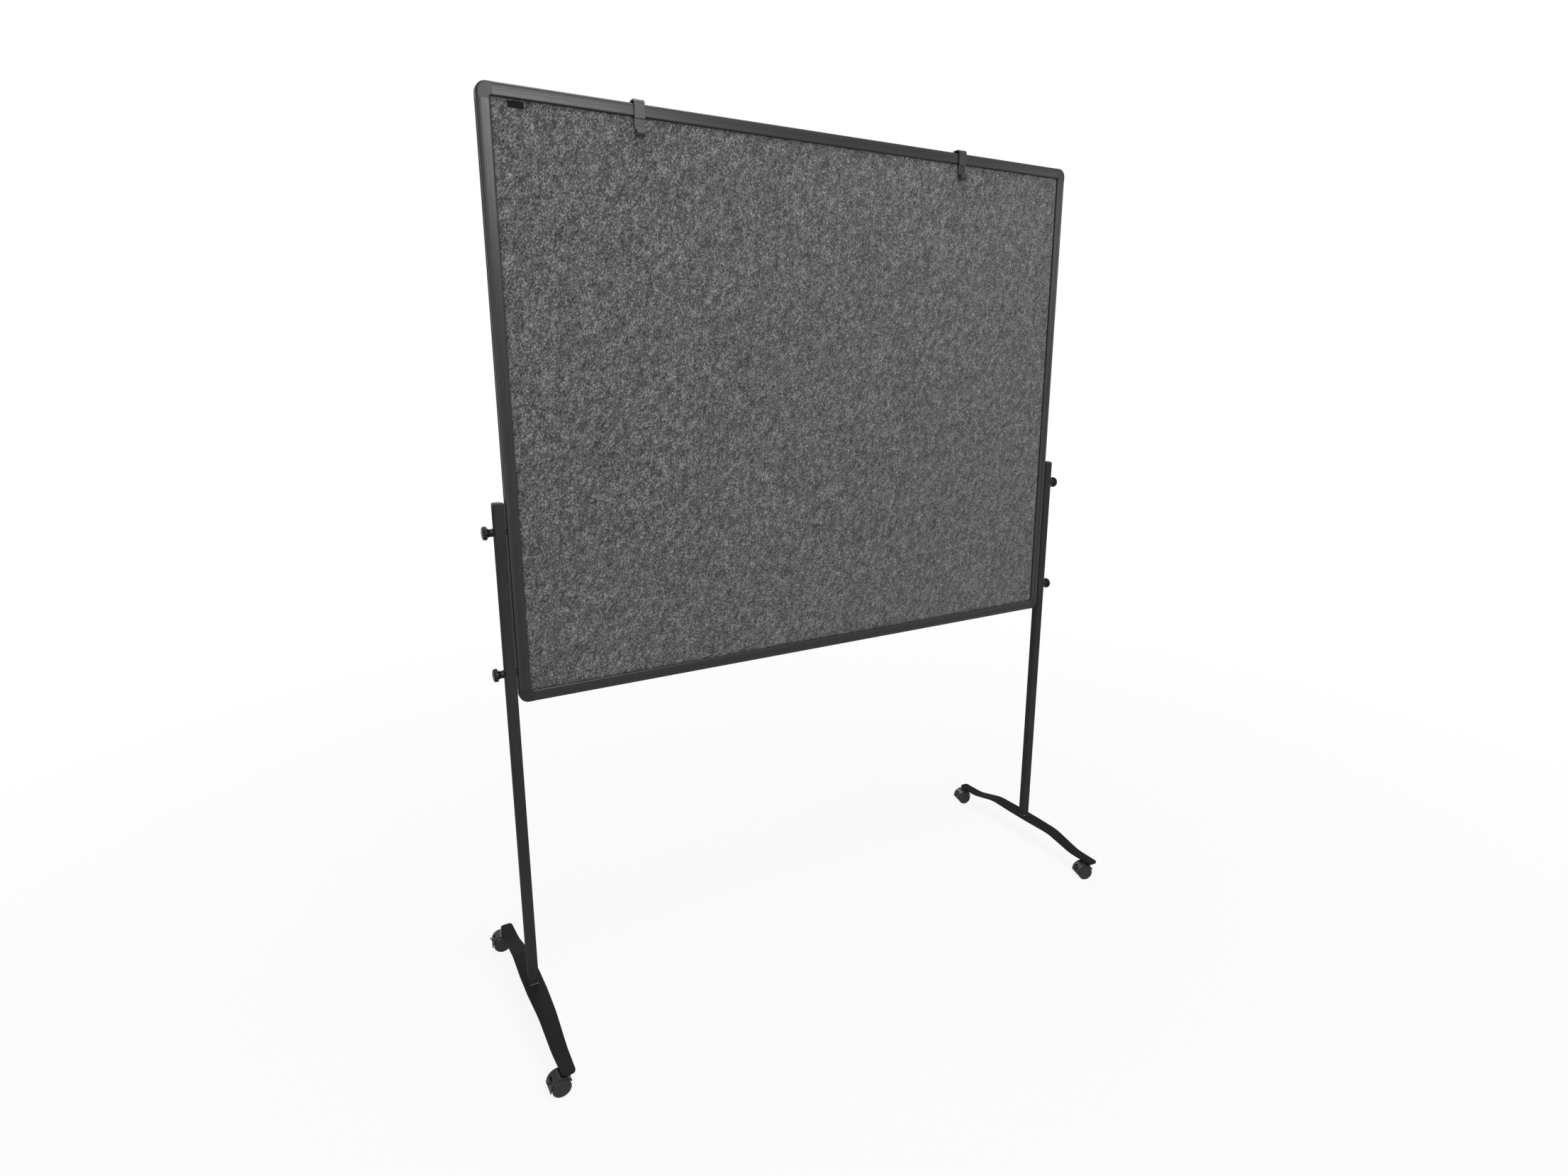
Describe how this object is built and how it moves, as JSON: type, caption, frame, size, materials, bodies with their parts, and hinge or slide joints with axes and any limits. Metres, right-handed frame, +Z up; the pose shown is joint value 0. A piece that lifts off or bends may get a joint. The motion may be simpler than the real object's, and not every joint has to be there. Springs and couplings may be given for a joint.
{
  "type": "mobile pinboard",
  "caption": "Felt pinboard in a grooved frame, clamped by hand knobs at a set height between two wheeled T-stands, with sliding paper hooks.",
  "frame": {"origin": "on the floor, under the middle of the board and midway between its faces", "axes": "+Z up, +X along the board toward its right side as seen from the front, -Y out of the front felt"},
  "size_m": [1.6069, 0.5666, 1.958],
  "materials": {
    "frame_aluminium": "satin grey coating with fine grooves",
    "frame_plastic": "satin moulded grey",
    "core": "raw soft fibreboard",
    "felt": "mottled needle felt",
    "label": "plain black tab",
    "stand_steel": "fine satin powder coat",
    "black_plastic": "moulded black",
    "bright_steel": "zinc-plated",
    "knob_plastic": "glossy black",
    "caster_plastic": "satin black",
    "wheel_plastic": "satin dark grey"
  },
  "bodies": {
    "board": {"rail_top": "frame_aluminium", "rail_bottom": "frame_aluminium", "rail_left": "frame_aluminium", "rail_right": "frame_aluminium", "corner_top_left": "frame_plastic", "corner_top_right": "frame_plastic", "corner_bottom_left": "frame_plastic", "corner_bottom_right": "frame_plastic", "core_board": "core", "felt_front": "felt", "felt_back": "felt", "label_tab": "label"},
    "hook_left": {"paper_hook_left": "frame_plastic"},
    "hook_right": {"paper_hook_right": "frame_plastic"},
    "stand_left": {"leg_left": "stand_steel", "leg_cap_left": "black_plastic", "foot_left": "stand_steel", "foot_bolts_left": "bright_steel", "clamp_spacers_left": "black_plastic", "caster_stems_left": "bright_steel"},
    "stand_right": {"leg_right": "stand_steel", "leg_cap_right": "black_plastic", "foot_right": "stand_steel", "foot_bolts_right": "bright_steel", "clamp_spacers_right": "black_plastic", "caster_stems_right": "bright_steel"},
    "knob_left_lower": {"knob_left_lower": "knob_plastic", "stud_left_lower": "bright_steel"},
    "nut_left_lower": {"nut_left_lower": "bright_steel"},
    "knob_left_upper": {"knob_left_upper": "knob_plastic", "stud_left_upper": "bright_steel"},
    "nut_left_upper": {"nut_left_upper": "bright_steel"},
    "knob_right_lower": {"knob_right_lower": "knob_plastic", "stud_right_lower": "bright_steel"},
    "nut_right_lower": {"nut_right_lower": "bright_steel"},
    "knob_right_upper": {"knob_right_upper": "knob_plastic", "stud_right_upper": "bright_steel"},
    "nut_right_upper": {"nut_right_upper": "bright_steel"},
    "caster_left_front": {"caster_housing_left_front": "caster_plastic", "axle_left_front": "bright_steel"},
    "brake_left_front": {"brake_lever_left_front": "caster_plastic"},
    "wheel_left_front_outer": {"wheel_left_front_outer": "wheel_plastic"},
    "wheel_left_front_inner": {"wheel_left_front_inner": "wheel_plastic"},
    "caster_left_back": {"caster_housing_left_back": "caster_plastic", "axle_left_back": "bright_steel"},
    "brake_left_back": {"brake_lever_left_back": "caster_plastic"},
    "wheel_left_back_outer": {"wheel_left_back_outer": "wheel_plastic"},
    "wheel_left_back_inner": {"wheel_left_back_inner": "wheel_plastic"},
    "caster_right_front": {"caster_housing_right_front": "caster_plastic", "axle_right_front": "bright_steel"},
    "brake_right_front": {"brake_lever_right_front": "caster_plastic"},
    "wheel_right_front_outer": {"wheel_right_front_outer": "wheel_plastic"},
    "wheel_right_front_inner": {"wheel_right_front_inner": "wheel_plastic"},
    "caster_right_back": {"caster_housing_right_back": "caster_plastic", "axle_right_back": "bright_steel"},
    "brake_right_back": {"brake_lever_right_back": "caster_plastic"},
    "wheel_right_back_outer": {"wheel_right_back_outer": "wheel_plastic"},
    "wheel_right_back_inner": {"wheel_right_back_inner": "wheel_plastic"}
  },
  "joints": [
    {"name": "height_left", "type": "slide", "parent": "board", "child": "stand_left", "axis": [0, 0, 1], "range_m": [0, 0.6]},
    {"name": "height_right", "type": "slide", "parent": "board", "child": "stand_right", "axis": [0, 0, 1], "range_m": [0, 0.6]},
    {"name": "hook_left_slide", "type": "slide", "parent": "board", "child": "hook_left", "axis": [1, 0, 0], "range_m": [-0.26, 0.41]},
    {"name": "hook_right_slide", "type": "slide", "parent": "board", "child": "hook_right", "axis": [1, 0, 0], "range_m": [-0.37, 0.3]},
    {"name": "knob_turn_left_lower", "type": "hinge", "parent": "stand_left", "child": "knob_left_lower", "pos_m": [-0.775, 0, 0.818], "axis": [-1, 0, 0], "range_deg": [0, 360]},
    {"name": "nut_run_left_lower", "type": "slide", "parent": "stand_left", "child": "nut_left_lower", "axis": [1, 0, 0], "range_m": [0, 0.0011]},
    {"name": "knob_turn_left_upper", "type": "hinge", "parent": "stand_left", "child": "knob_left_upper", "pos_m": [-0.775, 0, 1.118], "axis": [-1, 0, 0], "range_deg": [0, 360]},
    {"name": "nut_run_left_upper", "type": "slide", "parent": "stand_left", "child": "nut_left_upper", "axis": [1, 0, 0], "range_m": [0, 0.0011]},
    {"name": "knob_turn_right_lower", "type": "hinge", "parent": "stand_right", "child": "knob_right_lower", "pos_m": [0.775, 0, 0.818], "axis": [1, 0, 0], "range_deg": [0, 360]},
    {"name": "nut_run_right_lower", "type": "slide", "parent": "stand_right", "child": "nut_right_lower", "axis": [-1, 0, 0], "range_m": [0, 0.0011]},
    {"name": "knob_turn_right_upper", "type": "hinge", "parent": "stand_right", "child": "knob_right_upper", "pos_m": [0.775, 0, 1.118], "axis": [1, 0, 0], "range_deg": [0, 360]},
    {"name": "nut_run_right_upper", "type": "slide", "parent": "stand_right", "child": "nut_right_upper", "axis": [-1, 0, 0], "range_m": [0, 0.0011]},
    {"name": "swivel_left_front", "type": "hinge", "parent": "stand_left", "child": "caster_left_front", "pos_m": [-0.764, -0.26, 0.045], "axis": [0, 0, 1], "continuous": true},
    {"name": "roll_left_front_outer", "type": "hinge", "parent": "caster_left_front", "child": "wheel_left_front_outer", "pos_m": [-0.78, -0.26, 0.02], "axis": [0, 1, 0], "continuous": true},
    {"name": "roll_left_front_inner", "type": "hinge", "parent": "caster_left_front", "child": "wheel_left_front_inner", "pos_m": [-0.78, -0.26, 0.02], "axis": [0, 1, 0], "continuous": true},
    {"name": "brake_tilt_left_front", "type": "hinge", "parent": "caster_left_front", "child": "brake_left_front", "pos_m": [-0.79865, -0.26, 0.03258], "axis": [0, 1, 0], "range_deg": [0, 20]},
    {"name": "swivel_left_back", "type": "hinge", "parent": "stand_left", "child": "caster_left_back", "pos_m": [-0.764, 0.26, 0.045], "axis": [0, 0, 1], "continuous": true},
    {"name": "roll_left_back_outer", "type": "hinge", "parent": "caster_left_back", "child": "wheel_left_back_outer", "pos_m": [-0.77984, 0.26223, 0.02], "axis": [0.1392, 0.9903, 0], "continuous": true},
    {"name": "roll_left_back_inner", "type": "hinge", "parent": "caster_left_back", "child": "wheel_left_back_inner", "pos_m": [-0.77984, 0.26223, 0.02], "axis": [0.1392, 0.9903, 0], "continuous": true},
    {"name": "brake_tilt_left_back", "type": "hinge", "parent": "caster_left_back", "child": "brake_left_back", "pos_m": [-0.79832, 0.26482, 0.03258], "axis": [0.1392, 0.9903, 0], "range_deg": [0, 20]},
    {"name": "swivel_right_front", "type": "hinge", "parent": "stand_right", "child": "caster_right_front", "pos_m": [0.764, -0.26, 0.045], "axis": [0, 0, 1], "continuous": true},
    {"name": "roll_right_front_outer", "type": "hinge", "parent": "caster_right_front", "child": "wheel_right_front_outer", "pos_m": [0.74887, -0.25479, 0.02], "axis": [0.3256, 0.9455, 0], "continuous": true},
    {"name": "roll_right_front_inner", "type": "hinge", "parent": "caster_right_front", "child": "wheel_right_front_inner", "pos_m": [0.74887, -0.25479, 0.02], "axis": [0.3256, 0.9455, 0], "continuous": true},
    {"name": "brake_tilt_right_front", "type": "hinge", "parent": "caster_right_front", "child": "brake_right_front", "pos_m": [0.73123, -0.24872, 0.03258], "axis": [0.3256, 0.9455, 0], "range_deg": [0, 20]},
    {"name": "swivel_right_back", "type": "hinge", "parent": "stand_right", "child": "caster_right_back", "pos_m": [0.764, 0.26, 0.045], "axis": [0, 0, 1], "continuous": true},
    {"name": "roll_right_back_outer", "type": "hinge", "parent": "caster_right_back", "child": "wheel_right_back_outer", "pos_m": [0.74855, 0.26414, 0.02], "axis": [0.2588, 0.9659, 0], "continuous": true},
    {"name": "roll_right_back_inner", "type": "hinge", "parent": "caster_right_back", "child": "wheel_right_back_inner", "pos_m": [0.74855, 0.26414, 0.02], "axis": [0.2588, 0.9659, 0], "continuous": true},
    {"name": "brake_tilt_right_back", "type": "hinge", "parent": "caster_right_back", "child": "brake_right_back", "pos_m": [0.73053, 0.26897, 0.03258], "axis": [0.2588, 0.9659, 0], "range_deg": [0, 20]}
  ],
  "couplings": [
    {"joint": "height_right", "follows": "height_left", "ratio": 1},
    {"joint": "nut_run_left_lower", "follows": "knob_turn_left_lower", "m_per_rad": 0.00015915},
    {"joint": "nut_run_left_upper", "follows": "knob_turn_left_upper", "m_per_rad": 0.00015915},
    {"joint": "nut_run_right_lower", "follows": "knob_turn_right_lower", "m_per_rad": 0.00015915},
    {"joint": "nut_run_right_upper", "follows": "knob_turn_right_upper", "m_per_rad": 0.00015915}
  ]
}
